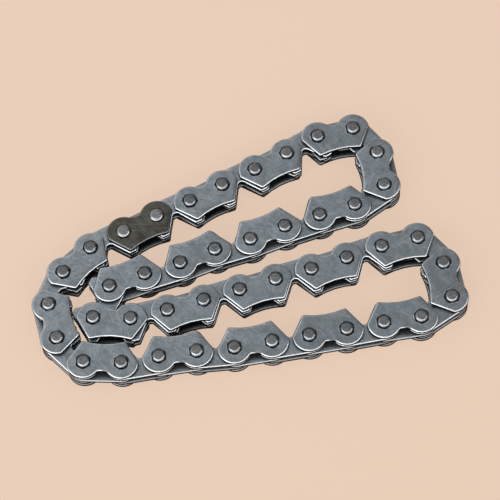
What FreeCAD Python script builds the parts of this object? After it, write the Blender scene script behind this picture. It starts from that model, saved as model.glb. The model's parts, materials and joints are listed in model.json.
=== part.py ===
import FreeCAD, Part
import math
import os
import Sketcher

# Inverted tooth chain for an oil pump: a closed loop of 44 links lying on its side.
# Guide links (two outer guide plates, a middle toothed plate and two pins) alternate
# with inner links (two toothed plates). All lengths are in millimetres.
# The origin is under the middle of the chain, on the plane that the pin ends rest on.

doc = FreeCAD.newDocument("oil_pump_chain")
sheet = doc.addObject("Spreadsheet::Sheet", "Sizes")

sizes = [
    ("pitch", 6.35, "distance between neighbouring pins"),
    ("plate_thickness", 0.80, "every plate"),
    ("side_clearance", 0.05, "gap between neighbouring plates"),
    ("pin_diameter", 2.20, "plain pin"),
    ("pin_overhang", 0.50, "pin end outside the guide plate"),
    ("pin_chamfer", 0.30, "bevel on the plain pin ends"),
    ("rivet_overhang", 0.50, "master pin end outside its guide plate"),
    ("rivet_dome", 0.40, "rounding of the master pin ends"),
    ("hole_clearance", 0.04, "radial play of a toothed plate on its pins"),
    ("slack_clearance", 0.15, "radial play at the pivot where the loop is joined"),
    ("guide_gap", 0.55, "between the round ends of neighbouring guide plates"),
    ("notch_floor", 1.60, "height of the back notch above the pin line"),
    ("notch_fillet", 0.45, "corners of the back notch"),
    ("guide_depth", 3.85, "tooth side corners of a guide plate below the pin line"),
    ("guide_flank_angle", 33.0, "guide plate flank from the upright, in degrees"),
    ("guide_flank_offset", 2.50, "guide plate flank from the pin centre"),
    ("guide_edge_radius", 12.7, "hollow edge between the guide plate corners"),
    ("guide_corner_fillet", 0.45, "tooth side corners of a guide plate"),
    ("link_gap", 0.65, "between the round ends of neighbouring toothed plates"),
    ("tooth_depth", 3.85, "tooth tips below the pin line"),
    ("tooth_flank_angle", 30.0, "outer flank from the upright, in degrees"),
    ("tooth_flank_offset", 2.42, "outer flank from the pin centre"),
    ("crotch_radius", 0.65, "round top of the gap between the teeth"),
    ("crotch_top", 0.60, "top of that gap below the pin line"),
    ("crotch_flank_angle", 33.0, "inner flank from the upright, in degrees"),
    ("tooth_tip_fillet", 0.35, "corners of the tooth tips"),
]
for row, (name, value, note) in enumerate(sizes, start=1):
    sheet.set("A%d" % row, name)
    sheet.set("B%d" % row, str(value))
    sheet.set("C%d" % row, note)
    sheet.setAlias("B%d" % row, name)
doc.recompute()

# The lie of the chain: which way each link points, in degrees from +X, from the first
# guide link round the loop. Guide and inner links take turns. The teeth face right.
# The last two links close the loop, so their directions are worked out.
lie = {
    "left corner": [41.0, 24.0],
    "upper run": [24.0, 21.5, 25.0, 23.0, 25.0, 27.0],
    "upper bend": [9.5, -53.5, -84.5, -148.0],
    "second run": [-166.5, -165.0, -162.0, -167.0, -161.5, -166.0, -163.5],
    "back bend": [-118.0, -6.0],
    "third run": [9.5, 12.0, 13.0, 13.0, 12.5, 14.5, 15.0, 10.0],
    "lower bend": [-52.5, -83.5, -149.5],
    "lower run": [-175.5, -173.5, -174.5, -174.5, -174.5, -179.0, -176.0, -174.5],
    "left bend": [174.0, 132.5],
}
MASTER_LINK = 2
OPEN_LINK = 11

# Levels of the plates and their outlines' main radii
layer_step = sheet.plate_thickness + sheet.side_clearance
stack_bottom = max(sheet.pin_overhang, sheet.rivet_overhang)
half_pitch = sheet.pitch / 2
guide_radius = (sheet.pitch - sheet.guide_gap) / 2
link_radius = (sheet.pitch - sheet.link_gap) / 2

# The sketcher's own numbers for the axes, the origin and the points of an edge
X_AXIS, Y_AXIS = -1, -2
ORIGIN = (-1, 1)
START, END, CENTRE = 1, 2, 3

# Share of a coordinate that is enough to tell one corner from the others
NEARLY = 0.9


# Sketch helpers

def new_body(name):
    return doc.addObject("PartDesign::Body", name)


def new_sketch(body, name):
    sketch = body.newObject("Sketcher::SketchObject", name)
    plane = next(item for item in body.Origin.OriginFeatures if item.Role == "XY_Plane")
    sketch.AttachmentSupport = [(plane, "")]
    sketch.MapMode = "FlatFace"
    return sketch


def line(sketch, start, end):
    return sketch.addGeometry(Part.LineSegment(FreeCAD.Vector(*start), FreeCAD.Vector(*end)))


def circle(sketch, centre, radius):
    return sketch.addGeometry(Part.Circle(FreeCAD.Vector(*centre), FreeCAD.Vector(0, 0, 1), radius))


def arc(sketch, centre, radius, first, last):
    whole = Part.Circle(FreeCAD.Vector(*centre), FreeCAD.Vector(0, 0, 1), radius)
    return sketch.addGeometry(Part.ArcOfCircle(whole, first, last))


def rule(sketch, *terms):
    return sketch.addConstraint(Sketcher.Constraint(*terms))


def measure(sketch, formula, *terms):
    """Add a dimension and bind it to the sheet."""
    index = rule(sketch, *terms)
    sketch.setExpression("Constraints[%d]" % index, formula)


def flank_ends(radius, angle, offset, depth):
    """Top and bottom of a straight flank beside the right pin.

    The flank leans by angle from the upright and passes the pin centre at offset. It
    starts on the round end of the plate and goes down to depth below the pin line.
    """
    sine, cosine = math.sin(math.radians(angle)), math.cos(math.radians(angle))
    rise = math.sqrt(radius ** 2 - offset ** 2)
    top = (half_pitch + offset * cosine + rise * sine, rise * cosine - offset * sine, 0)
    fall = (depth - offset * sine) / cosine
    bottom = (half_pitch + offset * cosine - fall * sine, -depth, 0)
    return top, bottom


def mirrored(point):
    return (-point[0], point[1], 0)


def polar_angle(point, centre_x):
    return math.atan2(point[1], point[0] - centre_x)


def round_end_pair(sketch, radius, formula, top, upper_angle):
    """The two round ends about the pins, from the flank tops to upper_angle."""
    first = polar_angle(top, half_pitch)
    right = arc(sketch, (half_pitch, 0, 0), radius, first, upper_angle)
    left = arc(sketch, (-half_pitch, 0, 0), radius, math.pi - upper_angle, math.pi - first)
    rule(sketch, "PointOnObject", right, CENTRE, X_AXIS)
    rule(sketch, "Symmetric", left, CENTRE, right, CENTRE, Y_AXIS)
    measure(sketch, "Sizes.pitch", "DistanceX", left, CENTRE, right, CENTRE, sheet.pitch)
    measure(sketch, formula, "Radius", right, radius)
    rule(sketch, "Equal", right, left)
    return right, left


def flank_pair(sketch, ends, top, bottom, angle, offset, depth):
    """The outer flanks, drawn upwards. The three sizes are given as sheet names."""
    right_end, left_end = ends
    right = line(sketch, bottom, top)
    left = line(sketch, mirrored(bottom), mirrored(top))
    lean = math.radians(90 - sheet.getPropertyByName(angle))
    rule(sketch, "Coincident", right, END, right_end, START)
    rule(sketch, "Coincident", left, END, left_end, END)
    measure(sketch, "90 deg - Sizes.%s * 1 deg" % angle, "Angle", right, lean)
    measure(sketch, "Sizes.%s" % offset, "Distance", right_end, CENTRE, right,
            sheet.getPropertyByName(offset))
    measure(sketch, "Sizes.%s" % depth, "DistanceY", right, START, *ORIGIN,
            sheet.getPropertyByName(depth))
    rule(sketch, "Symmetric", left, START, right, START, Y_AXIS)
    rule(sketch, "Equal", left, right)
    return right, left


def pin_holes(sketch, ends, radius, formula):
    holes = [circle(sketch, (side * half_pitch, 0, 0), radius) for side in (1, -1)]
    for hole, end in zip(holes, ends):
        rule(sketch, "Coincident", hole, CENTRE, end, CENTRE)
    measure(sketch, formula, "Radius", holes[0], radius)
    rule(sketch, "Equal", holes[1], holes[0])


def pad_plate(body, sketch):
    pad = body.newObject("PartDesign::Pad", body.Name + "_pad")
    pad.Profile = sketch
    pad.setExpression("Length", "Sizes.plate_thickness")
    doc.recompute()
    return pad


def round_corners(body, base, name, radius, wanted):
    """Fillet the corners, seen from above, whose x and y the wanted test accepts."""
    edges = []
    for number, edge in enumerate(base.Shape.Edges, start=1):
        box = edge.BoundBox
        if box.ZLength > NEARLY * sheet.plate_thickness and wanted(box.Center.x, box.Center.y):
            edges.append("Edge%d" % number)
    fillet = body.newObject("PartDesign::Fillet", body.Name + "_" + name)
    fillet.Base = (base, edges)
    fillet.setExpression("Radius", "Sizes." + radius)
    doc.recompute()
    return fillet


# Outer guide plate: two humps over the pins with a notch between, slanted flanks and
# a slightly hollow edge on the tooth side

def make_guide_plate():
    body = new_body("guide_plate")
    sketch = new_sketch(body, "guide_outline")
    floor_half = half_pitch - math.sqrt(guide_radius ** 2 - sheet.notch_floor ** 2)
    floor_end = (floor_half, sheet.notch_floor, 0)
    top, bottom = flank_ends(guide_radius, sheet.guide_flank_angle,
                             sheet.guide_flank_offset, sheet.guide_depth)
    humps = round_end_pair(sketch, guide_radius, "(Sizes.pitch - Sizes.guide_gap) / 2",
                           top, polar_angle(floor_end, half_pitch))
    floor = line(sketch, mirrored(floor_end), floor_end)
    rule(sketch, "Coincident", floor, END, humps[0], END)
    rule(sketch, "Coincident", floor, START, humps[1], START)
    rule(sketch, "Horizontal", floor)
    measure(sketch, "Sizes.notch_floor", "DistanceY", *ORIGIN, floor, START, sheet.notch_floor)
    flanks = flank_pair(sketch, humps, top, bottom,
                        "guide_flank_angle", "guide_flank_offset", "guide_depth")
    sink = math.sqrt(sheet.guide_edge_radius ** 2 - bottom[0] ** 2)
    spread = math.atan2(sink, bottom[0])
    edge = arc(sketch, (0, -sheet.guide_depth - sink, 0), sheet.guide_edge_radius,
               spread, math.pi - spread)
    rule(sketch, "Coincident", edge, START, flanks[0], START)
    rule(sketch, "Coincident", edge, END, flanks[1], START)
    measure(sketch, "Sizes.guide_edge_radius", "Radius", edge, sheet.guide_edge_radius)
    pin_holes(sketch, humps, sheet.pin_diameter / 2, "Sizes.pin_diameter / 2")
    base = pad_plate(body, sketch)
    base = round_corners(body, base, "notch_rounding", "notch_fillet",
                         lambda x, y: abs(x) < half_pitch and y > NEARLY * sheet.notch_floor)
    round_corners(body, base, "corner_rounding", "guide_corner_fillet",
                  lambda x, y: abs(x) > NEARLY * bottom[0] and y < -NEARLY * sheet.guide_depth)
    return body


# Toothed plate: straight back, round ends, and two teeth with a deep crotch between

def make_toothed_plate(name, clearance):
    body = new_body(name)
    sketch = new_sketch(body, name + "_outline")
    top, tip_outer = flank_ends(link_radius, sheet.tooth_flank_angle,
                                sheet.tooth_flank_offset, sheet.tooth_depth)
    ends = round_end_pair(sketch, link_radius, "(Sizes.pitch - Sizes.link_gap) / 2",
                          top, math.pi / 2)
    back = line(sketch, (-half_pitch, link_radius, 0), (half_pitch, link_radius, 0))
    rule(sketch, "Tangent", back, END, ends[0], END)
    rule(sketch, "Tangent", back, START, ends[1], START)
    flanks = flank_pair(sketch, ends, top, tip_outer,
                        "tooth_flank_angle", "tooth_flank_offset", "tooth_depth")
    lean = math.radians(sheet.crotch_flank_angle)
    crotch_centre_y = -sheet.crotch_top - sheet.crotch_radius
    meet = (sheet.crotch_radius * math.cos(lean),
            crotch_centre_y + sheet.crotch_radius * math.sin(lean), 0)
    tip_inner = (meet[0] + (meet[1] + sheet.tooth_depth) * math.tan(lean), -sheet.tooth_depth, 0)
    tip_right = line(sketch, tip_outer, tip_inner)
    tip_left = line(sketch, mirrored(tip_outer), mirrored(tip_inner))
    inner_right = line(sketch, tip_inner, meet)
    inner_left = line(sketch, mirrored(tip_inner), mirrored(meet))
    crotch = arc(sketch, (0, crotch_centre_y, 0), sheet.crotch_radius, lean, math.pi - lean)
    rule(sketch, "Horizontal", tip_right)
    rule(sketch, "Coincident", tip_right, START, flanks[0], START)
    rule(sketch, "Coincident", tip_left, START, flanks[1], START)
    rule(sketch, "Symmetric", tip_left, END, tip_right, END, Y_AXIS)
    rule(sketch, "Coincident", inner_right, START, tip_right, END)
    rule(sketch, "Coincident", inner_left, START, tip_left, END)
    measure(sketch, "90 deg + Sizes.crotch_flank_angle * 1 deg", "Angle", inner_right,
            math.pi / 2 + lean)
    rule(sketch, "PointOnObject", crotch, CENTRE, Y_AXIS)
    measure(sketch, "Sizes.crotch_top + Sizes.crotch_radius", "DistanceY", crotch, CENTRE,
            *ORIGIN, -crotch_centre_y)
    measure(sketch, "Sizes.crotch_radius", "Radius", crotch, sheet.crotch_radius)
    rule(sketch, "Tangent", inner_right, END, crotch, START)
    rule(sketch, "Tangent", inner_left, END, crotch, END)
    pin_holes(sketch, ends, sheet.pin_diameter / 2 + sheet.getPropertyByName(clearance),
              "Sizes.pin_diameter / 2 + Sizes." + clearance)
    base = pad_plate(body, sketch)
    round_corners(body, base, "tip_rounding", "tooth_tip_fillet",
                  lambda x, y: y < -NEARLY * sheet.tooth_depth)
    return body


# Pins: plain ones with bevelled ends, and the master link's with rounded riveted ends

def make_pin(name, overhang, edge_feature, edge_size):
    body = new_body(name)
    sketch = new_sketch(body, name + "_section")
    section = circle(sketch, (0, 0, 0), sheet.pin_diameter / 2)
    rule(sketch, "Coincident", section, CENTRE, *ORIGIN)
    measure(sketch, "Sizes.pin_diameter / 2", "Radius", section, sheet.pin_diameter / 2)
    pad = body.newObject("PartDesign::Pad", name + "_pad")
    pad.Profile = sketch
    pad.setExpression("Length", "5 * Sizes.plate_thickness + 4 * Sizes.side_clearance"
                                " + 2 * Sizes." + overhang)
    doc.recompute()
    rims = ["Edge%d" % number for number, edge in enumerate(pad.Shape.Edges, start=1)
            if edge.BoundBox.ZLength < sheet.side_clearance]
    ends = body.newObject("PartDesign::" + edge_feature, name + "_ends")
    ends.Base = (pad, rims)
    ends.setExpression("Radius" if edge_feature == "Fillet" else "Size", "Sizes." + edge_size)
    doc.recompute()
    return body


# Where the links lie

def pin_points():
    """Direction of every link and the place of every pin, centred on the origin."""
    directions = [angle for run in lie.values() for angle in run]
    pins = [FreeCAD.Vector(0, 0, 0)]
    for angle in directions:
        pins.append(pins[-1] + sheet.pitch * heading(angle))
    gap = pins[0] - pins[-1]
    bend = math.degrees(math.acos(gap.Length / 2 / sheet.pitch))
    straight = math.degrees(math.atan2(gap.y, gap.x))
    directions += [straight + bend, straight - bend]
    pins.append(pins[-1] + sheet.pitch * heading(straight + bend))
    box = FreeCAD.BoundBox()
    for pin in pins:
        box.add(pin)
    return directions, [pin - box.Center for pin in pins]


def heading(angle):
    return FreeCAD.Vector(math.cos(math.radians(angle)), math.sin(math.radians(angle)), 0)


# Nodes: each is a group of placed copies of the plates and pins

def layer(level):
    """Height of a plate's lower face, with level 0 at the bottom and 4 on top."""
    return stack_bottom + level * layer_step


def copy_of(piece, x, z):
    copy = doc.addObject("App::Link", piece.Name + "_copy")
    copy.LinkedObject = piece
    copy.LinkPlacement = FreeCAD.Placement(FreeCAD.Vector(x, 0, z), FreeCAD.Rotation())
    return copy


def add_node(name, link_index, pieces):
    node = doc.addObject("Part::Compound", name)
    node.Label = name
    node.Links = [copy_of(*piece) for piece in pieces]
    middle = pins[link_index] + half_pitch * heading(directions[link_index])
    turn = FreeCAD.Rotation(FreeCAD.Vector(0, 0, 1), directions[link_index])
    node.Placement = FreeCAD.Placement(middle, turn)
    nodes.append(node)


def pin_pair(pin, overhang):
    z = stack_bottom - overhang
    return [(pin, -half_pitch, z), (pin, half_pitch, z)]


guide_plate = make_guide_plate()
toothed_plate = make_toothed_plate("toothed_plate", "hole_clearance")
slack_plate = make_toothed_plate("slack_toothed_plate", "slack_clearance")
plain_pin = make_pin("plain_pin", "pin_overhang", "Chamfer", "pin_chamfer")
master_pin = make_pin("master_pin", "rivet_overhang", "Fillet", "rivet_dome")

directions, pins = pin_points()
nodes = []
for index in range(len(directions)):
    number = index // 2 + 1
    if index == MASTER_LINK:
        add_node("master_guide_plate_top", index, [(guide_plate, 0, layer(4))])
        add_node("master_guide_plate_bottom", index, [(guide_plate, 0, layer(0))])
        add_node("master_toothed_plate", index, [(toothed_plate, 0, layer(2))])
        add_node("master_pins", index, pin_pair(master_pin, sheet.rivet_overhang))
    elif index % 2 == 0:
        plates = [(guide_plate, 0, layer(0)), (toothed_plate, 0, layer(2)),
                  (guide_plate, 0, layer(4))]
        add_node("guide_link_%02d" % number, index,
                 plates + pin_pair(plain_pin, sheet.pin_overhang))
    else:
        plate = slack_plate if index == OPEN_LINK else toothed_plate
        add_node("inner_link_%02d" % number, index, [(plate, 0, layer(1)), (plate, 0, layer(3))])
doc.recompute()

for item in doc.Objects:
    if "Invalid" in item.State or "Error" in item.State:
        raise RuntimeError("%s failed: %s" % (item.Name, item.State))
for item in doc.Objects:
    if item.TypeId == "Sketcher::SketchObject" and not item.FullyConstrained:
        print("not fully constrained:", item.Name)

os.makedirs("parts", exist_ok=True)
for node in nodes:
    if node.Shape.isNull() or not node.Shape.isValid():
        raise RuntimeError("%s has no valid shape" % node.Label)
    node.Shape.exportStep(os.path.join("parts", node.Label + ".step"))
print(len(nodes), "nodes,", sum(len(node.Shape.Solids) for node in nodes), "solids")
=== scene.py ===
import json
import math

import bmesh
import bpy
from mathutils import Matrix, Vector
from mathutils.geometry import delaunay_2d_cdt


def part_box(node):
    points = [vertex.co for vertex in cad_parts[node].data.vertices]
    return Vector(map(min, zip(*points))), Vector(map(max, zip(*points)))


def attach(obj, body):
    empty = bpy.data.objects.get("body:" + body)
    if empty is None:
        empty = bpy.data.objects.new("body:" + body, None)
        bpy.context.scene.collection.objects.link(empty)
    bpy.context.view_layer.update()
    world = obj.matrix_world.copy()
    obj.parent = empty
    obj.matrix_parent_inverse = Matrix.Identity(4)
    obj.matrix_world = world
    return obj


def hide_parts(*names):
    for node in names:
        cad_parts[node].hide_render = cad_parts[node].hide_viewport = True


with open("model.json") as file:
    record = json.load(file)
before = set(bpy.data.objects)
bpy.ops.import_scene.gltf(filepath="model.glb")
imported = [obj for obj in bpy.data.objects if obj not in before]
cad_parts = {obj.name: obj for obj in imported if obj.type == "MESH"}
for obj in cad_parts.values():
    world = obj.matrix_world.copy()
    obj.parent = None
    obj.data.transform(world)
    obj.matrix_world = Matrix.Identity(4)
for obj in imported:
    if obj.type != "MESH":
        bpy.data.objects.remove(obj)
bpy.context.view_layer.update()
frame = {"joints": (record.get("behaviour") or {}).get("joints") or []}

# The visual model of a folded inverted tooth chain. Every plate and pin is a piece of
# its own, built from the same sizes as the solids, with the edges that tumbling leaves.
# Lengths are in millimetres until the meshes are written, in metres. In each link x runs
# along it and y towards its back, so the teeth point towards negative y.

MM = 0.001
LINK_COUNT = 44
MASTER_LINK = 2

# The joints form a tree, so the loop of links is opened at this pivot. The inner link
# before it has larger holes, which take up what the loop can't close in a pose
OPEN_PIVOT = 12
OPEN_LINK = OPEN_PIVOT - 1

# The stack of five plates and the pins
PLATE_THICKNESS = 0.80
SIDE_CLEARANCE = 0.05
STACK_BOTTOM = 0.50
STACK_HEIGHT = 5 * PLATE_THICKNESS + 4 * SIDE_CLEARANCE
STACK_MIDDLE = STACK_BOTTOM + STACK_HEIGHT / 2
PIN_RADIUS = 1.10
PIN_OVERHANG = 0.50
TIGHT_CLEARANCE = 0.015
HOLE_CLEARANCE = 0.04
SLACK_CLEARANCE = 0.15

# Guide plate
GUIDE_RADIUS = 2.90
NOTCH_FLOOR = 1.60
NOTCH_FILLET = 0.45
GUIDE_DEPTH = 3.85
GUIDE_FLANK = math.radians(33)
GUIDE_FLANK_OFFSET = 2.50
GUIDE_EDGE_RADIUS = 12.7
GUIDE_CORNER = 0.45

# Toothed plate
LINK_RADIUS = 2.85
TOOTH_DEPTH = 3.85
TOOTH_FLANK = math.radians(30)
TOOTH_FLANK_OFFSET = 2.42
CROTCH_RADIUS = 0.65
CROTCH_TOP = 0.60
CROTCH_FLANK = math.radians(33)
TIP_FILLET = 0.35

# Rounded rims, the slope that the blanking die leaves, and the ring staked round a pin
EDGE_ROUNDING = 0.26
LIP_ROUNDING = 0.28
ROLL_WIDTH = 0.62
ROLL_DEPTH = 0.045
STAKE_RADIUS = 1.46
STAKE_WIDTH = 0.10
STAKE_HEIGHT = 0.012

# Where the steel is worn bright, and where shade is painted dark: on the walls between the
# plates and in the holes' lips round the pins
WEAR_WIDTH = 0.55
STAKE_WEAR = 0.46
LIP_SHADE_FADE = 0.10
LIP_SHADE = 0.72
WALL_SHADE_SHARE = 0.20

# How finely the meshes are divided
WIDE_STEP = math.radians(10)
TIGHT_STEP = math.radians(18)
TIGHT_RADIUS = 0.70
EDGE_STEPS = 4
PIN_SIDES = 40
CAP_GRID = 0.75
ROW_SHARE = 0.87
SLOPE_POINTS = (0.40, ROLL_WIDTH)
STAKED_POINTS = (1.38, STAKE_RADIUS, 1.56, 1.70)
UNSTAKED_POINTS = (1.60,)
SLOPE_KEPT = 0.95
POINT_MARGIN = 0.12
MITRE_LIMIT = 0.5
SAME_POINT = 1e-4
MERGE_DISTANCE = 1e-5

# A distance at which neither a rim nor a staked ring changes the face
FAR = 9.0

# The pins' ends, as (radius, depth below the tip)
PLAIN_END = [(0, 0), (0.40, 0.005), (0.70, 0.014), (0.80, 0.028), (0.87, 0.055),
             (0.93, 0.100), (0.99, 0.17), (1.04, 0.26), (1.08, 0.36), (PIN_RADIUS, 0.46),
             (PIN_RADIUS, 0.56)]
RIVET_END = [(0, 0), (0.40, 0.004), (0.68, 0.018), (0.85, 0.048), (0.97, 0.09), (1.07, 0.15),
             (1.15, 0.24), (1.20, 0.36), (1.19, 0.44), (1.13, 0.49), (PIN_RADIUS, 0.52)]


# Where the pins and links are, from the frame's joints

def joint_points():
    """Every pivot's place in the plane and the pitch between two of them. The open pivot
    has no joint, so its place follows from its neighbours and the link beside it."""
    points = {}
    for joint in frame["joints"]:
        number = int(joint["name"].rsplit("_", 1)[1]) - 1
        points[number] = Vector(joint["pos_m"][:2]) / MM
    pitch = (points[1] - points[0]).length
    before = points[OPEN_PIVOT - 1]
    after = points[OPEN_PIVOT + 1]
    half = (after - before) / 2
    bulge = math.sqrt(pitch ** 2 - half.length ** 2)
    side = Vector((-half.y, half.x)).normalized() * bulge
    low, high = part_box(guide_name(OPEN_PIVOT))
    middle = (Vector(low[:2]) + Vector(high[:2])) / 2 / MM
    options = [before + half + side, before + half - side]
    points[OPEN_PIVOT] = min(options, key=lambda p: ((p + after) / 2 - middle).length)
    return points, pitch


def guide_name(index):
    return "guide_link_%02d" % (index // 2 + 1)


def inner_name(index):
    return "inner_link_%02d" % (index // 2 + 1)


pins, PITCH = joint_points()
HALF_PITCH = PITCH / 2


def link_frame(index):
    """The place and direction of a link: x along it, y towards its back."""
    start = pins[index]
    end = pins[(index + 1) % LINK_COUNT]
    along = (end - start).normalized()
    middle = (start + end) / 2
    return Matrix(((along.x, -along.y, 0, middle.x * MM),
                   (along.y, along.x, 0, middle.y * MM),
                   (0, 0, 1, 0),
                   (0, 0, 0, 1)))


def layer(level):
    """Height of the middle of a plate, with level 0 at the bottom and 4 on top."""
    return STACK_BOTTOM + level * (PLATE_THICKNESS + SIDE_CLEARANCE) + PLATE_THICKNESS / 2


# Outlines, as closed rings of points that run anticlockwise

def arc_points(centre, radius, first, last):
    """Points from one angle of a circle to another, both included."""
    step = TIGHT_STEP if radius < TIGHT_RADIUS else WIDE_STEP
    steps = max(2, math.ceil(abs(last - first) / step))
    return [centre + radius * Vector((math.cos(first + (last - first) * i / steps),
                                      math.sin(first + (last - first) * i / steps)))
            for i in range(steps + 1)]


def direction(vector):
    """The angle of a vector from the x axis."""
    return math.atan2(vector.y, vector.x)


def round_corner(before, corner, after, radius):
    """Points of the fillet where two straight sides meet."""
    back = (before - corner).normalized()
    on = (after - corner).normalized()
    half_angle = back.angle(on) / 2
    centre = corner + (back + on).normalized() * radius / math.sin(half_angle)
    reach = radius / math.tan(half_angle)
    first = direction(corner + back * reach - centre)
    turn = direction(corner + on * reach - centre) - first
    turn = (turn + math.pi) % (2 * math.pi) - math.pi
    return arc_points(centre, radius, first, first + turn)


def with_mirror(right):
    """A whole outline from its right side, which runs from the tooth side to the back."""
    left = [Vector((-p.x, p.y)) for p in reversed(right)]
    ring = right + left
    return [p for i, p in enumerate(ring) if (p - ring[i - 1]).length > SAME_POINT]


def flank_line(radius, lean, offset, depth):
    """Top and bottom of a flank beside the right pin, and its outward normal."""
    pin = Vector((HALF_PITCH, 0))
    normal = Vector((math.cos(lean), -math.sin(lean)))
    up = Vector((math.sin(lean), math.cos(lean)))
    foot = pin + normal * offset
    top = foot + up * math.sqrt(radius ** 2 - offset ** 2)
    bottom = foot - up * (depth + foot.y) / up.y
    return top, bottom, normal


def guide_outline():
    """Two humps with a notch between, slanted flanks and a hollow tooth side."""
    pin = Vector((HALF_PITCH, 0))
    top, bottom, normal = flank_line(GUIDE_RADIUS, GUIDE_FLANK, GUIDE_FLANK_OFFSET, GUIDE_DEPTH)
    hollow = Vector((0, -GUIDE_DEPTH - math.sqrt(GUIDE_EDGE_RADIUS ** 2 - bottom.x ** 2)))
    # The corner's centre lies inside the flank and outside the hollow edge's circle
    up = Vector((-normal.y, normal.x))
    foot = pin + normal * (GUIDE_FLANK_OFFSET - GUIDE_CORNER)
    away = foot - hollow
    half_run = away.dot(up)
    excess = away.length_squared - (GUIDE_EDGE_RADIUS + GUIDE_CORNER) ** 2
    corner = foot + up * (-half_run + math.sqrt(half_run * half_run - excess))
    edge = arc_points(hollow, GUIDE_EDGE_RADIUS, math.pi / 2, direction(corner - hollow))
    bend = arc_points(corner, GUIDE_CORNER, direction(hollow - corner), direction(normal))
    # The notch corner's centre is above the floor and outside the hump's circle
    reach = GUIDE_RADIUS + NOTCH_FILLET
    height = NOTCH_FLOOR + NOTCH_FILLET
    notch = pin + Vector((-math.sqrt(reach ** 2 - height ** 2), height))
    hump = arc_points(pin, GUIDE_RADIUS, direction(top - pin), direction(notch - pin))
    floor = arc_points(notch, NOTCH_FILLET, direction(pin - notch), -math.pi / 2)
    return with_mirror(edge + bend + hump + floor)


def toothed_outline():
    """Two teeth with a round crotch between, round ends and a straight back."""
    pin = Vector((HALF_PITCH, 0))
    top, outer, _ = flank_line(LINK_RADIUS, TOOTH_FLANK, TOOTH_FLANK_OFFSET, TOOTH_DEPTH)
    centre = Vector((0, -CROTCH_TOP - CROTCH_RADIUS))
    meet = centre + CROTCH_RADIUS * Vector((math.cos(CROTCH_FLANK), math.sin(CROTCH_FLANK)))
    inner = Vector((meet.x + (meet.y + TOOTH_DEPTH) * math.tan(CROTCH_FLANK), -TOOTH_DEPTH))
    crotch = arc_points(centre, CROTCH_RADIUS, math.pi / 2, CROTCH_FLANK)
    inner_tip = round_corner(meet, inner, outer, TIP_FILLET)
    outer_tip = round_corner(inner, outer, top, TIP_FILLET)
    end = arc_points(pin, LINK_RADIUS, direction(top - pin), math.pi / 2)
    return with_mirror(crotch + inner_tip + outer_tip + end)


def hole_outline(centre_x, radius):
    """A whole circle about a point on the line between the pins."""
    ring = arc_points(Vector((centre_x, 0)), radius, 0, 2 * math.pi)
    return ring[:-1]


def inset(ring, distance):
    """The ring moved into the material on its left."""
    moved = []
    for i, point in enumerate(ring):
        back = (point - ring[i - 1]).normalized()
        on = (ring[(i + 1) % len(ring)] - point).normalized()
        tangent = (back + on).normalized()
        lengthen = 1 / max(MITRE_LIMIT, tangent.dot(on))
        moved.append(point + Vector((-tangent.y, tangent.x)) * distance * lengthen)
    return moved


def nearest(point, ring):
    """Distance from a point to a closed ring."""
    best = math.inf
    for start, end in zip(ring[-1:] + ring[:-1], ring):
        side = end - start
        share = min(1, max(0, (point - start).dot(side) / side.length_squared))
        best = min(best, (point - start - share * side).length)
    return best


def inside(point, ring):
    """Whether a point lies within a closed ring."""
    crossings = 0
    for start, end in zip(ring[-1:] + ring[:-1], ring):
        if (start.y > point.y) != (end.y > point.y):
            reach = start.x + (point.y - start.y) / (end.y - start.y) * (end.x - start.x)
            crossings += point.x < reach
    return crossings % 2 == 1


# Meshes of the plates

def rounding_drop(distance, radius):
    """How far a rounded edge lies below the face, at a distance in from the side."""
    if distance >= radius:
        return 0
    return radius - math.sqrt(radius ** 2 - (radius - distance) ** 2)


def roll_drop(distance):
    """The shallow slope that the blanking die leaves round the outline."""
    return ROLL_DEPTH * max(0, 1 - distance / ROLL_WIDTH) ** 2


def stake_rise(radius):
    """The low ring that is pressed up round each pin."""
    return STAKE_HEIGHT * math.exp(-((radius - STAKE_RADIUS) / STAKE_WIDTH) ** 2)


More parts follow.
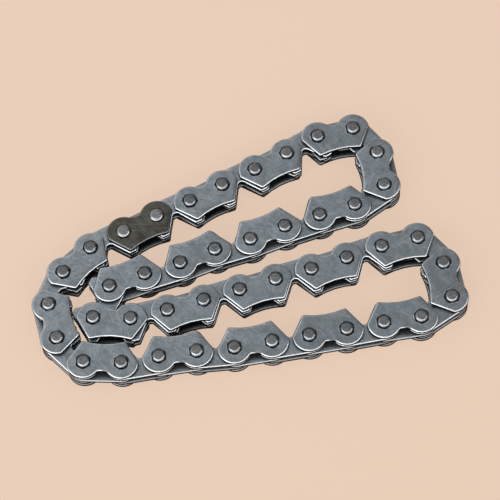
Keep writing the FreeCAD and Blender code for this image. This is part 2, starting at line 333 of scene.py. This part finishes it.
class Plate:
    """A flat plate with two pin holes: the shape of its faces and rims."""

    def __init__(self, outline, hole_radius, staked):
        self.outline = outline
        self.hole_radius = hole_radius
        self.staked = staked
        self.centres = [Vector((-HALF_PITCH, 0)), Vector((HALF_PITCH, 0))]

    def height(self, to_side, to_hole):
        """Half the thickness, at a distance in from the outline and from a hole."""
        rise = stake_rise(self.hole_radius + to_hole) if self.staked else 0
        return (PLATE_THICKNESS / 2 - rounding_drop(to_side, EDGE_ROUNDING) - roll_drop(to_side)
                - rounding_drop(to_hole, LIP_ROUNDING) + rise)

    def distances(self, point):
        """How far a point is in from the outline and from the nearest hole."""
        to_hole = min((point - centre).length for centre in self.centres) - self.hole_radius
        return nearest(point, self.outline), to_hole

    def face_points(self):
        """Points between the rims, closer together where the face isn't flat."""
        points = []
        for distance in SLOPE_POINTS:
            points += [p for p in inset(self.outline, distance)
                       if nearest(p, self.outline) > SLOPE_KEPT * distance]
        radii = STAKED_POINTS if self.staked else UNSTAKED_POINTS
        for radius in radii:
            for centre in self.centres:
                points += [centre + p for p in hole_outline(0, radius)]
        count = math.ceil((HALF_PITCH + GUIDE_RADIUS) / CAP_GRID)
        for row in range(-count, count + 1):
            for column in range(-count, count + 1):
                x = (column + (row % 2) / 2) * CAP_GRID
                p = Vector((x, row * CAP_GRID * ROW_SHARE))
                if inside(p, self.outline):
                    points.append(p)
        kept = []
        for p in points:
            if self.clear_of_rims(p) and all((p - q).length > POINT_MARGIN for q in kept):
                kept.append(p)
        return kept

    def clear_of_rims(self, point):
        """Whether a point lies on the flat of the face, with room to the rims."""
        to_side, to_hole = self.distances(point)
        return (to_side > EDGE_ROUNDING + POINT_MARGIN
                and to_hole > LIP_ROUNDING + POINT_MARGIN / 2
                and inside(point, self.outline))

    def corner(self, bm, point, height, to_side, to_hole, on_wall):
        """One corner of the mesh, with how worn the steel is there and how much painted shade
        it gets.
        """
        vert = bm.verts.new((point.x * MM, point.y * MM, height * MM))
        ring = stake_rise(self.hole_radius + to_hole) / STAKE_HEIGHT if self.staked else 0
        # Painted shade: the rounded lip round each hole is darkened, where shade falls between
        # the pin and the plate
        lip = min(LIP_SHADE, max(0, (LIP_ROUNDING - to_hole) / LIP_SHADE_FADE))
        layers = bm.verts.layers.float
        vert[layers["wear"]] = max(0, 1 - to_side / WEAR_WIDTH, STAKE_WEAR * ring)
        # The mask of painted shade: the walls between the plates and the lips round the pins
        vert[layers["shade_mask"]] = max(on_wall, lip)
        return vert

    def rims(self):
        """The rings of the plate, each with its rounding and whether it is the outline."""
        found = [(self.outline, EDGE_ROUNDING, True)]
        for centre in self.centres:
            ring = list(reversed(hole_outline(centre.x, self.hole_radius)))
            found.append((ring, LIP_ROUNDING, False))
        return found

    def rim_rows(self, bm, ring, rounding, is_outline):
        """Rows of corners down a rim, from the upper face to the lower one."""
        depths = [rounding * (1 - math.sin(math.pi / 2 * i / EDGE_STEPS))
                  for i in range(EDGE_STEPS + 1)]
        levels = [(depth, 1) for depth in depths] + [(depth, -1) for depth in reversed(depths)]
        rows = []
        for depth, way in levels:
            to_side, to_hole = (depth, FAR) if is_outline else (FAR, depth)
            height = way * self.height(to_side, to_hole)
            # Painted shade: the walls and the lower rounding of the outline are darkened, where
            # shade falls between the stacked plates
            shaded = way < 0 or depth < WALL_SHADE_SHARE * rounding
            on_wall = 1.0 if is_outline and shaded else 0.0
            rows.append([self.corner(bm, p, height, to_side, to_hole, on_wall)
                         for p in inset(ring, depth)])
        return rows

    def fill_faces(self, bm, upper, lower, edges):
        """Both flat faces, between the rims and through the points inside them."""
        flat = [Vector((v.co.x, v.co.y)) / MM for v in upper]
        _, _, faces, sources, _, _ = delaunay_2d_cdt(flat, edges, [], 0, MERGE_DISTANCE)
        for face in faces:
            corners = [sources[i][0] for i in face]
            middle = sum((flat[i] for i in corners), Vector((0, 0))) / 3
            from_hole = min((middle - centre).length for centre in self.centres)
            on_steel = from_hole > self.hole_radius + LIP_ROUNDING / 2
            if on_steel and inside(middle, self.outline):
                bm.faces.new([upper[i] for i in corners])
                bm.faces.new([lower[i] for i in reversed(corners)])

    def mesh(self, name):
        """The whole plate as one closed mesh, centred on its middle."""
        bm = bmesh.new()
        bm.verts.layers.float.new("wear")
        bm.verts.layers.float.new("shade_mask")
        upper, lower, edges = [], [], []
        for ring, rounding, is_outline in self.rims():
            rows = self.rim_rows(bm, ring, rounding, is_outline)
            join_rows(bm, rows)
            first = len(upper)
            count = len(ring)
            edges += [(first + i, first + (i + 1) % count) for i in range(count)]
            upper += rows[0]
            lower += rows[-1]
        for point in self.face_points():
            to_side, to_hole = self.distances(point)
            height = self.height(to_side, to_hole)
            upper.append(self.corner(bm, point, height, to_side, to_hole, 0.0))
            lower.append(self.corner(bm, point, -height, to_side, to_hole, 0.0))
        self.fill_faces(bm, upper, lower, edges)
        return finished_mesh(name, bm)


def join_rows(bm, rows):
    """Faces between closed rows of corners. A row of one corner is the middle of a fan."""
    for above, below in zip(rows, rows[1:]):
        count = max(len(above), len(below))
        for i in range(count):
            j = (i + 1) % count
            if len(above) == 1:
                bm.faces.new((above[0], below[i], below[j]))
            elif len(below) == 1:
                bm.faces.new((above[i], below[0], above[j]))
            else:
                bm.faces.new((above[i], below[i], below[j], above[j]))


def finished_mesh(name, bm):
    """A smoothly shaded mesh with its normals outwards."""
    mesh = bpy.data.meshes.new(name)
    bmesh.ops.recalc_face_normals(bm, faces=bm.faces)
    for face in bm.faces:
        face.smooth = True
    bm.to_mesh(mesh)
    bm.free()
    return mesh


# Meshes of the pins

def turned_mesh(name, profile):
    """A solid of revolution about Z from (radius, height) pairs, top first."""
    bm = bmesh.new()
    angles = [2 * math.pi * i / PIN_SIDES for i in range(PIN_SIDES)]
    rows = []
    for radius, height in profile:
        places = [(radius * MM * math.cos(a), radius * MM * math.sin(a), height * MM)
                  for a in (angles if radius else angles[:1])]
        rows.append([bm.verts.new(place) for place in places])
    join_rows(bm, rows)
    return finished_mesh(name, bm)


def pin_profile(end):
    """A pin's profile from its upper end's (radius, depth below the tip) pairs."""
    top = STACK_HEIGHT / 2 + PIN_OVERHANG
    upper = [(radius, top - depth) for radius, depth in end]
    return upper + [(radius, -height) for radius, height in reversed(upper)]


# The five meshes that all the links share

guide = Plate(guide_outline(), PIN_RADIUS + TIGHT_CLEARANCE, True)
toothed = Plate(toothed_outline(), PIN_RADIUS + HOLE_CLEARANCE, False)
slack = Plate(toothed_outline(), PIN_RADIUS + SLACK_CLEARANCE, False)
meshes = {
    "guide_plate": guide.mesh("guide_plate"),
    "toothed_plate": toothed.mesh("toothed_plate"),
    "slack_plate": slack.mesh("slack_plate"),
    "pin": turned_mesh("pin", pin_profile(PLAIN_END)),
    "master_pin": turned_mesh("master_pin", pin_profile(RIVET_END)),
}


# Materials

WHITE = (1, 1, 1, 1)

# Each noise is a scale per millimetre, a detail and a roughness. Each range is what
# becomes 0 and what becomes 1
CLOUD_NOISE = (0.55, 4.0, 0.62)
CLOUD_RANGE = (0.36, 0.64)
FLECK_NOISE = (2.2, 6.0, 0.66)
FLECK_RANGE = (0.48, 0.70)
FLECK_SHARE = 0.60
GRAIN_NOISE = (24.0, 3.0, 0.7)
GRAIN_RANGE = (0.3, 0.7)
WORN_RAGGED = 0.12
WORN_RANGE = (0.42, 0.92)
PATTERN_SHIFT = 937.0

# Two sets of scratches, each with its direction in radians and its fineness
SCRATCHES = ((0.5, 0.9), (1.1, 1.3))
SCRATCH_NOISE = (1.0, 1.0, 0.4)
SCRATCH_RANGE = (0.655, 0.70)
SCRATCH_LENGTHWISE = 0.22
SCRATCH_CROSSWISE = 5.5
SCRATCH_BEND_SCALE = 0.25
SCRATCH_BEND = 1.6

# Painted shade deep in the stack: the worn rims and the faces that look up on the lower plates
# are darkened, where the plates above shade them
DEEP_SHADE = 0.85
SUNK_SHADE = 0.80
UPWARD_RANGE = (0.3, 0.8)
UNWORN_RANGE = (0.0, 0.5)
THIN_SHADE = 0.96
# The tint of the reflections where shade is painted, so that the painted shade also dims them
SHADED_GLEAM = (0.15, 0.16, 0.18, 1)

# What changes the roughness and the relief of the steel
GRAIN_ROUGHNESS = 0.05
FLECK_ROUGHNESS = 0.08
WEAR_ROUGHNESS = -0.15
SHADE_MASK_ROUGHNESS = 0.25
GRAIN_RELIEF = 0.30
SCRATCH_RELIEF = -0.7
CLOUD_RELIEF = 1.2
STEEL_BUMP = {"Strength": 0.20, "Distance": 0.03 * MM}

LINK_STEEL = {
    "base": (0.412, 0.456, 0.492, 1),
    "cloudy": (0.285, 0.318, 0.343, 1),
    "flecked": (0.235, 0.260, 0.278, 1),
    "worn": (0.90, 0.92, 0.94, 1),
    # The colour of painted shade on walls, lips and deep in the stack
    "painted_shade_colour": (0.010, 0.011, 0.013, 1),
    "rough": 0.38,
    "scratched": 0.25,
}
BLACK_OXIDE_STEEL = {
    "base": (0.148, 0.146, 0.130, 1),
    "cloudy": (0.074, 0.063, 0.047, 1),
    "flecked": (0.196, 0.193, 0.174, 1),
    "worn": (0.30, 0.30, 0.295, 1),
    # The colour of painted shade on walls, lips and deep in the stack
    "painted_shade_colour": (0.008, 0.008, 0.008, 1),
    "rough": 0.44,
    "scratched": 0.5,
}

# The sheared face of a pin is rougher and darker than the bevel round it
PIN_STEEL = {
    "face": (0.30, 0.306, 0.314, 1),
    "bevel": (0.48, 0.495, 0.51, 1),
    "face_radius": 0.80,
    "rough_face": 0.56,
    "rough_bevel": 0.20,
}
RIVET_STEEL = {
    "face": (0.44, 0.46, 0.475, 1),
    "bevel": (0.54, 0.55, 0.56, 1),
    "face_radius": 0.84,
    "rough_face": 0.40,
    "rough_bevel": 0.22,
}
FACE_EDGE_NOISE = (3.0, 4.0)
FACE_EDGE_RANGE = (0.3, 0.7)
FACE_EDGE_RAGGED = 0.05
FACE_EDGE_INNER = -0.03
FACE_EDGE_OUTER = 0.04
PIT_NOISE = (2.6, 5.0, 0.62)
PIT_RANGE = (0.38, 0.64)
PIT_SHADE = 0.50
SHEAR_NOISE = (4.0, 6.0, 0.65)
SHEAR_BUMP = {"Strength": 0.7, "Distance": 0.12 * MM}

# Painted shade at the pin's foot, where it meets the plate, fades between these heights from
# the middle of the pin
PIN_FOOT_SHADE = (0.045, 0.045, 0.048, 1)
FULL_SHADE_HEIGHT = STACK_HEIGHT / 2 + 0.06
NO_SHADE_HEIGHT = STACK_HEIGHT / 2 + 0.18

# The darkest and the lightest piece of a kind, as shares of its colour
STEEL_SHADES = (0.95, 1.05)
PIN_SHADES = (0.85, 1.15)


class Nodes:
    """A short way to build the node tree of a material or a world."""

    def __init__(self, owner):
        self.owner = owner
        owner.use_nodes = True
        self.tree = owner.node_tree
        self.tree.nodes.clear()

    def add(self, kind, inputs=None, **settings):
        node = self.tree.nodes.new("ShaderNode" + kind)
        for key, value in settings.items():
            setattr(node, key, value)
        for key, value in (inputs or {}).items():
            self.feed(node.inputs[key], value)
        return node

    def feed(self, socket, value):
        if isinstance(value, bpy.types.NodeSocket):
            self.tree.links.new(value, socket)
        else:
            socket.default_value = value

    def noise(self, vector, scale, detail=4.0, roughness=0.55):
        node = self.add("TexNoise", {"Vector": vector, "Scale": scale, "Detail": detail,
                                     "Roughness": roughness})
        return node.outputs["Fac"]

    def spread(self, value, low, high, to_low=0.0, to_high=1.0):
        node = self.add("MapRange", {"Value": value, "From Min": low, "From Max": high,
                                     "To Min": to_low, "To Max": to_high})
        return node.outputs["Result"]

    def blend(self, factor, first, second):
        node = self.add("Mix", {0: factor, 6: first, 7: second}, data_type="RGBA")
        return node.outputs[2]

    def maths(self, operation, first, second=0.5):
        return self.add("Math", {0: first, 1: second}, operation=operation).outputs[0]

    def vector(self, operation, inputs):
        return self.add("VectorMath", inputs, operation=operation)

    def finish(self, shader, output="OutputMaterial"):
        end = self.add(output)
        self.tree.links.new(shader.outputs[0], end.inputs["Surface"])
        return self.owner


def piece_coordinates(nodes):
    """A piece's coordinates in millimetres, first as they are and then moved so that no
    two pieces share a pattern, and its object info."""
    local = nodes.add("TexCoord").outputs["Object"]
    local = nodes.vector("SCALE", {0: local, "Scale": 1 / MM}).outputs[0]
    info = nodes.add("ObjectInfo")
    shift = nodes.vector("SCALE", {0: info.outputs["Location"], "Scale": PATTERN_SHIFT})
    place = nodes.vector("ADD", {0: local, 1: shift.outputs[0]}).outputs[0]
    return local, place, info


def shaded_by_piece(nodes, colour, info, darkest, lightest):
    """The colour, a little darker or lighter on each piece."""
    shade = nodes.spread(info.outputs["Random"], 0.0, 1.0, darkest, lightest)
    return nodes.add("HueSaturation", {"Value": shade, "Color": colour}).outputs[0]


def scratch_lines(nodes, place, turn, fineness):
    """Thin stray scratches, most of them along one direction."""
    bend = nodes.add("TexNoise", {"Vector": place, "Scale": SCRATCH_BEND_SCALE, "Detail": 1.0})
    warp = nodes.vector("SCALE", {0: bend.outputs["Color"], "Scale": SCRATCH_BEND})
    bent = nodes.vector("ADD", {0: place, 1: warp.outputs[0]})
    turned = nodes.add("Mapping", {"Vector": bent.outputs[0], "Rotation": (0, 0, turn)})
    along = SCRATCH_LENGTHWISE * fineness
    squeezed = nodes.add("Mapping", {"Vector": turned.outputs[0],
                                     "Scale": (along, SCRATCH_CROSSWISE * fineness, along)})
    return nodes.spread(nodes.noise(squeezed.outputs[0], *SCRATCH_NOISE), *SCRATCH_RANGE)


def steel_painted_shade(nodes, wear, fleck, info):
    """Painted shade on the walls, in the holes' lips and deep in the stack: first the mask,
    which also makes the steel rough, then the painted shade, which darkens its colour."""
    rise = nodes.add("SeparateXYZ", {"Vector": info.outputs["Location"]}).outputs[2]
    depth = nodes.spread(rise, layer(1) * MM, layer(3) * MM, 1.0, 0.0)
    shade_mask = nodes.add("Attribute", attribute_name="shade_mask").outputs["Fac"]
    # Painted shade on the worn rims of the lower plates, darker the deeper the plate lies
    deep_shade = nodes.maths("MULTIPLY", nodes.maths("MULTIPLY", wear, depth), DEEP_SHADE)
    shade_mask = nodes.maths("MAXIMUM", shade_mask, deep_shade)
    painted_shade = nodes.maths("MULTIPLY", shade_mask, nodes.spread(fleck, 0.0, 1.0, THIN_SHADE, 1.0))
    # Painted shade on the faces of the lower plates that look up, away from their rims
    normal = nodes.add("NewGeometry").outputs["Normal"]
    upward = nodes.add("SeparateXYZ", {"Vector": normal}).outputs[2]
    sunk = nodes.spread(upward, *UPWARD_RANGE, 0.0, SUNK_SHADE)
    sunk = nodes.maths("MULTIPLY", depth, sunk)
    sunk = nodes.maths("MULTIPLY", sunk, nodes.spread(wear, *UNWORN_RANGE, 1.0, 0.0))
    return shade_mask, nodes.maths("MAXIMUM", painted_shade, sunk)


def steel(name, base, cloudy, flecked, worn, painted_shade_colour, rough, scratched):
    """Tumbled steel: faint clouds, stains, fine grain, stray scratches, worn rims and painted
    shade.
    """
    nodes = Nodes(bpy.data.materials.new(name))
    _, place, info = piece_coordinates(nodes)
    cloud = nodes.spread(nodes.noise(place, *CLOUD_NOISE), *CLOUD_RANGE)
    fleck = nodes.spread(nodes.noise(place, *FLECK_NOISE), *FLECK_RANGE)
    grain = nodes.noise(place, *GRAIN_NOISE)
    lines = nodes.maths("MAXIMUM", *[scratch_lines(nodes, place, turn, fineness)
                                     for turn, fineness in SCRATCHES])
    wear = nodes.add("Attribute", attribute_name="wear").outputs["Fac"]
    shade_mask, painted_shade = steel_painted_shade(nodes, wear, fleck, info)

    tone = nodes.blend(cloud, base, cloudy)
    tone = nodes.blend(nodes.maths("MULTIPLY", fleck, FLECK_SHARE), tone, flecked)
    uneven = nodes.spread(grain, *GRAIN_RANGE, -WORN_RAGGED, WORN_RAGGED)
    ragged = nodes.maths("ADD", wear, uneven)
    tone = nodes.blend(nodes.spread(ragged, *WORN_RANGE), tone, worn)
    tone = nodes.blend(nodes.maths("MULTIPLY", lines, scratched), tone, worn)
    # Painted shade darkens the colour on walls, lips and deep in the stack
    tone = nodes.blend(painted_shade, tone, painted_shade_colour)
    colour = shaded_by_piece(nodes, tone, info, *STEEL_SHADES)

    finish = nodes.spread(grain, *GRAIN_RANGE, rough - GRAIN_ROUGHNESS, rough + GRAIN_ROUGHNESS)
    for pattern, share in ((fleck, FLECK_ROUGHNESS), (wear, WEAR_ROUGHNESS),
                           (shade_mask, SHADE_MASK_ROUGHNESS)):
        finish = nodes.maths("ADD", finish, nodes.maths("MULTIPLY", pattern, share))

    relief = nodes.maths("MULTIPLY", grain, GRAIN_RELIEF)
    for pattern, share in ((lines, SCRATCH_RELIEF), (cloud, CLOUD_RELIEF)):
        relief = nodes.maths("ADD", relief, nodes.maths("MULTIPLY", pattern, share))
    bump = nodes.add("Bump", {"Height": relief, **STEEL_BUMP})

    # Painted shade also dims the reflections
    gleam = nodes.blend(painted_shade, WHITE, SHADED_GLEAM)
    shader = nodes.add("BsdfPrincipled", {"Base Color": colour, "Metallic": 1.0,
                                          "Roughness": finish, "Specular Tint": gleam,
                                          "Normal": bump.outputs[0]})
    return nodes.finish(shader)


def darker(colour, share):
    """A share of a colour, still opaque."""
    return tuple(share * c for c in colour[:3]) + (1,)


def pin_steel(name, face, bevel, face_radius, rough_face, rough_bevel):
    """Pin steel: a rough sheared face inside a smooth bevel, and painted shade at its foot,
    where it meets the plate.
    """
    nodes = Nodes(bpy.data.materials.new(name))
    local, place, info = piece_coordinates(nodes)
    split = nodes.add("SeparateXYZ", {"Vector": local})
    flat = nodes.add("CombineXYZ", {"X": split.outputs[0], "Y": split.outputs[1]})
    from_axis = nodes.vector("LENGTH", {0: flat.outputs[0]}).outputs["Value"]
    uneven = nodes.spread(nodes.noise(place, *FACE_EDGE_NOISE), *FACE_EDGE_RANGE,
                          -FACE_EDGE_RAGGED, FACE_EDGE_RAGGED)
    ragged = nodes.maths("ADD", from_axis, uneven)
    on_face = nodes.spread(ragged, face_radius + FACE_EDGE_INNER,
                           face_radius + FACE_EDGE_OUTER, 1.0, 0.0)

    pits = nodes.spread(nodes.noise(place, *PIT_NOISE), *PIT_RANGE)
    face_tone = nodes.blend(pits, face, darker(face, PIT_SHADE))
    colour = nodes.blend(on_face, bevel, face_tone)
    # Painted shade: the pin is darkened just above the plate, where shade falls at its foot
    from_middle = nodes.maths("ABSOLUTE", split.outputs[2])
    foot = nodes.spread(from_middle, FULL_SHADE_HEIGHT, NO_SHADE_HEIGHT, 1.0, 0.0)
    colour = nodes.blend(foot, colour, PIN_FOOT_SHADE)
    colour = shaded_by_piece(nodes, colour, info, *PIN_SHADES)

    finish = nodes.spread(on_face, 0.0, 1.0, rough_bevel, rough_face)
    relief = nodes.maths("MULTIPLY", nodes.noise(place, *SHEAR_NOISE), on_face)
    bump = nodes.add("Bump", {"Height": relief, **SHEAR_BUMP})
    shader = nodes.add("BsdfPrincipled", {"Base Color": colour, "Metallic": 1.0,
                                          "Roughness": finish, "Normal": bump.outputs[0]})
    return nodes.finish(shader)


materials = {
    "link_steel": steel("link_steel", **LINK_STEEL),
    "black_oxide_steel": steel("black_oxide_steel", **BLACK_OXIDE_STEEL),
    "pin_steel": pin_steel("pin_steel", **PIN_STEEL),
    "rivet_steel": pin_steel("rivet_steel", **RIVET_STEEL),
}
painted = {}


def mesh_with(material_name, mesh_name):
    """The shared mesh of a piece in one of its finishes."""
    key = (material_name, mesh_name)
    if key not in painted:
        mesh = meshes[mesh_name].copy()
        mesh.materials.append(materials[material_name])
        painted[key] = mesh
    return painted[key]


# The pieces, placed on the links

PIN_SPOTS = (("left", -HALF_PITCH), ("right", HALF_PITCH))


def place_piece(name, mesh, spot, x, z, body, node):
    """One piece of a link, which rides on its body in place of its solid."""
    piece = bpy.data.objects.new(name, mesh)
    bpy.context.scene.collection.objects.link(piece)
    piece.matrix_world = spot @ Matrix.Translation((x * MM, 0, z * MM))
    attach(piece, body)
    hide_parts(node)


def build_master_link(index):
    """The link with the dark top plate and the riveted pins, where the chain was closed."""
    spot = link_frame(index)
    body = "master_link"
    for part, node, finish, mesh_name, level in (
            ("top_plate", "guide_plate_top", "black_oxide_steel", "guide_plate", 4),
            ("bottom_plate", "guide_plate_bottom", "link_steel", "guide_plate", 0),
            ("middle_plate", "toothed_plate", "link_steel", "toothed_plate", 2)):
        place_piece("master_" + part, mesh_with(finish, mesh_name), spot,
                    0, layer(level), body, "master_" + node)
    for side, x in PIN_SPOTS:
        place_piece("master_pin_" + side, mesh_with("rivet_steel", "master_pin"), spot,
                    x, STACK_MIDDLE, body, "master_pins")


def build_guide_link(index):
    """Two guide plates outside, a toothed plate in the middle and two pins."""
    spot = link_frame(index)
    name = guide_name(index)
    for part, mesh_name, level in (("bottom_plate", "guide_plate", 0),
                                   ("middle_plate", "toothed_plate", 2),
                                   ("top_plate", "guide_plate", 4)):
        place_piece(name + "_" + part, mesh_with("link_steel", mesh_name), spot,
                    0, layer(level), name, name)
    for side, x in PIN_SPOTS:
        place_piece(name + "_pin_" + side, mesh_with("pin_steel", "pin"), spot,
                    x, STACK_MIDDLE, name, name)


def build_inner_link(index):
    """Two toothed plates, which turn on the pins of the links beside them."""
    spot = link_frame(index)
    name = inner_name(index)
    mesh_name = "slack_plate" if index == OPEN_LINK else "toothed_plate"
    for part, level in (("lower_plate", 1), ("upper_plate", 3)):
        place_piece(name + "_" + part, mesh_with("link_steel", mesh_name), spot,
                    0, layer(level), name, name)


for index in range(LINK_COUNT):
    if index == MASTER_LINK:
        build_master_link(index)
    elif index % 2 == 0:
        build_guide_link(index)
    else:
        build_inner_link(index)


# Camera, at the photograph's angle

CAMERA_DISTANCE = 335.26
CAMERA_ELEVATION = math.radians(65.08)
CAMERA_ROLL = math.radians(-4.315)
CAMERA_LENS = 141.62
CAMERA_SENSOR = 36.0
CAMERA_NEAR = 0.01
LOOK_AT = Vector((0.711, -1.693, STACK_BOTTOM + STACK_HEIGHT + 0.18))


def add_camera():
    """The camera that took the photograph, as fitted to the ends of the pins."""
    data = bpy.data.cameras.new("camera")
    data.lens = CAMERA_LENS
    data.sensor_width = CAMERA_SENSOR
    data.clip_start = CAMERA_NEAR
    camera = bpy.data.objects.new("camera", data)
    bpy.context.scene.collection.objects.link(camera)
    back = Vector((0, -math.cos(CAMERA_ELEVATION), math.sin(CAMERA_ELEVATION)))
    up = Vector((0, math.sin(CAMERA_ELEVATION), math.cos(CAMERA_ELEVATION)))
    right = Vector((1, 0, 0))
    turned_right = right * math.cos(CAMERA_ROLL) + up * math.sin(CAMERA_ROLL)
    turned_up = up * math.cos(CAMERA_ROLL) - right * math.sin(CAMERA_ROLL)
    place = (LOOK_AT + back * CAMERA_DISTANCE) * MM
    camera.matrix_world = Matrix(((turned_right.x, turned_up.x, back.x, place.x),
                                  (turned_right.y, turned_up.y, back.y, place.y),
                                  (turned_right.z, turned_up.z, back.z, place.z),
                                  (0, 0, 0, 1)))
    bpy.context.scene.camera = camera


# Floor, which fades a little from one side to the other. Lengths here are in metres

FLOOR_REACH = 3.0
PEACH_LIGHT = (0.846, 0.643, 0.505, 1)
PEACH_DARK = (0.830, 0.628, 0.488, 1)
FADE_DIRECTION = (0.8, -0.6, 0)
FADE_REACH = 0.05
BACKDROP_SHARE = 0.82
MIRRORED_SHARE = 0.50


def floor_material():
    """Peach paper that keeps the shadow, and shows its plain colour to the camera."""
    nodes = Nodes(bpy.data.materials.new("floor"))
    place = nodes.add("TexCoord").outputs["Object"]
    along = nodes.vector("DOT_PRODUCT", {0: place, 1: FADE_DIRECTION}).outputs["Value"]
    fade = nodes.spread(along, -FADE_REACH, FADE_REACH)
    colour = nodes.blend(fade, PEACH_LIGHT, PEACH_DARK)
    path = nodes.add("LightPath")
    mirrored = nodes.maths("MULTIPLY", path.outputs["Is Glossy Ray"], MIRRORED_SHARE)
    seen = nodes.maths("MAXIMUM", path.outputs["Is Camera Ray"], mirrored)
    seen = nodes.maths("MAXIMUM", seen, path.outputs["Is Transmission Ray"])
    lit = nodes.add("BsdfDiffuse", {"Color": colour})
    glow = nodes.add("Emission", {"Color": colour, "Strength": 1.0})
    shader = nodes.add("MixShader", {0: nodes.maths("MULTIPLY", seen, BACKDROP_SHARE),
                                     1: lit.outputs[0], 2: glow.outputs[0]})
    return nodes.finish(shader)


def add_floor():
    """One large square under the chain, which is part of the stage and not of the object."""
    bm = bmesh.new()
    corners = [bm.verts.new((x * FLOOR_REACH, y * FLOOR_REACH, 0))
               for x, y in ((-1, -1), (1, -1), (1, 1), (-1, 1))]
    bm.faces.new(corners)
    mesh = bpy.data.meshes.new("floor")
    bm.to_mesh(mesh)
    bm.free()
    mesh.materials.append(floor_material())
    floor = bpy.data.objects.new("floor", mesh)
    bpy.context.scene.collection.objects.link(floor)


# Light. Each soft box has an azimuth and an elevation in degrees, and a distance, a width
# and a height in metres. Radiance is how bright its face is, with 1 as white

SOFT_BOXES = {
    "left_box": {"azimuth": 222, "elevation": 30, "distance": 0.75,
                 "size": (0.95, 0.56), "radiance": 1.9},
    "right_box": {"azimuth": 348, "elevation": 38, "distance": 0.75,
                  "size": (0.60, 0.50), "radiance": 1.5},
    "front_box": {"azimuth": 290, "elevation": 36, "distance": 0.80,
                  "size": (0.90, 0.52), "radiance": 1.5},
    "near_box": {"azimuth": 125, "elevation": 51, "distance": 0.30,
                 "size": (0.26, 0.14), "radiance": 0.42},
    "back_box": {"azimuth": 95, "elevation": 26, "distance": 0.90,
                 "size": (1.40, 0.36), "radiance": 0.2},
}

# The room's strength at the horizon and overhead, and what it is multiplied by at the left
ROOM_HORIZON = 0.11
ROOM_ZENITH = 0.385
ROOM_LEFT = 2.4
ROOM_TINT = (0.97, 0.99, 1.0, 1)


def add_soft_box(name, azimuth, elevation, distance, size, radiance):
    """A rectangular lamp that looks at the chain."""
    data = bpy.data.lights.new(name, "AREA")
    data.shape = "RECTANGLE"
    data.size, data.size_y = size
    data.energy = radiance * math.pi * size[0] * size[1]
    light = bpy.data.objects.new(name, data)
    bpy.context.scene.collection.objects.link(light)
    turn = math.radians(azimuth)
    rise = math.radians(elevation)
    away = Vector((math.cos(turn) * math.cos(rise), math.sin(turn) * math.cos(rise),
                   math.sin(rise)))
    facing = away.to_track_quat("Z", "Y").to_matrix().to_4x4()
    light.matrix_world = Matrix.Translation(away * distance) @ facing


def add_world():
    """A room that is brighter overhead than at the horizon, and fades from left to right."""
    nodes = Nodes(bpy.data.worlds.new("room"))
    way = nodes.add("SeparateXYZ", {"Vector": nodes.add("TexCoord").outputs["Generated"]})
    level = nodes.spread(way.outputs[2], 0.0, 1.0, ROOM_HORIZON, ROOM_ZENITH)
    fade = nodes.spread(way.outputs[0], -1.0, 1.0, ROOM_LEFT, 0.0)
    strength = nodes.maths("MULTIPLY", level, fade)
    background = nodes.add("Background", {"Color": ROOM_TINT, "Strength": strength})
    bpy.context.scene.world = nodes.finish(background, "OutputWorld")


add_camera()
add_floor()
for name, settings in SOFT_BOXES.items():
    add_soft_box(name, **settings)
add_world()
bpy.context.scene.view_settings.view_transform = "Standard"

bpy.context.view_layer.update()
